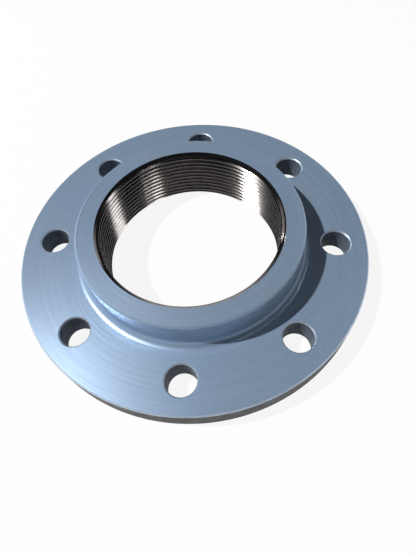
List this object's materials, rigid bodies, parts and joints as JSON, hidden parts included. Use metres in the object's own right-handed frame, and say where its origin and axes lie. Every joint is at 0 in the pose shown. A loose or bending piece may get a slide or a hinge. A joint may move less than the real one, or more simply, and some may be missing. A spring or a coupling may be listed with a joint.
{
  "type": "pipe flange",
  "caption": "Round threaded pipe flange: flat drilled plate with a raised hub around an internally threaded pipe bore.",
  "frame": {"origin": "centre of the bore in the plane of the flat mating face", "axes": "+Z along the bore axis, from the mating face towards the hub face; the bolt holes straddle the X and Y centre lines"},
  "size_m": [0.216, 0.216, 0.0365],
  "materials": {
    "machined_steel": "bare turned steel with fine concentric tool marks"
  },
  "bodies": {
    "root": {"flange": "machined_steel"}
  },
  "joints": []
}
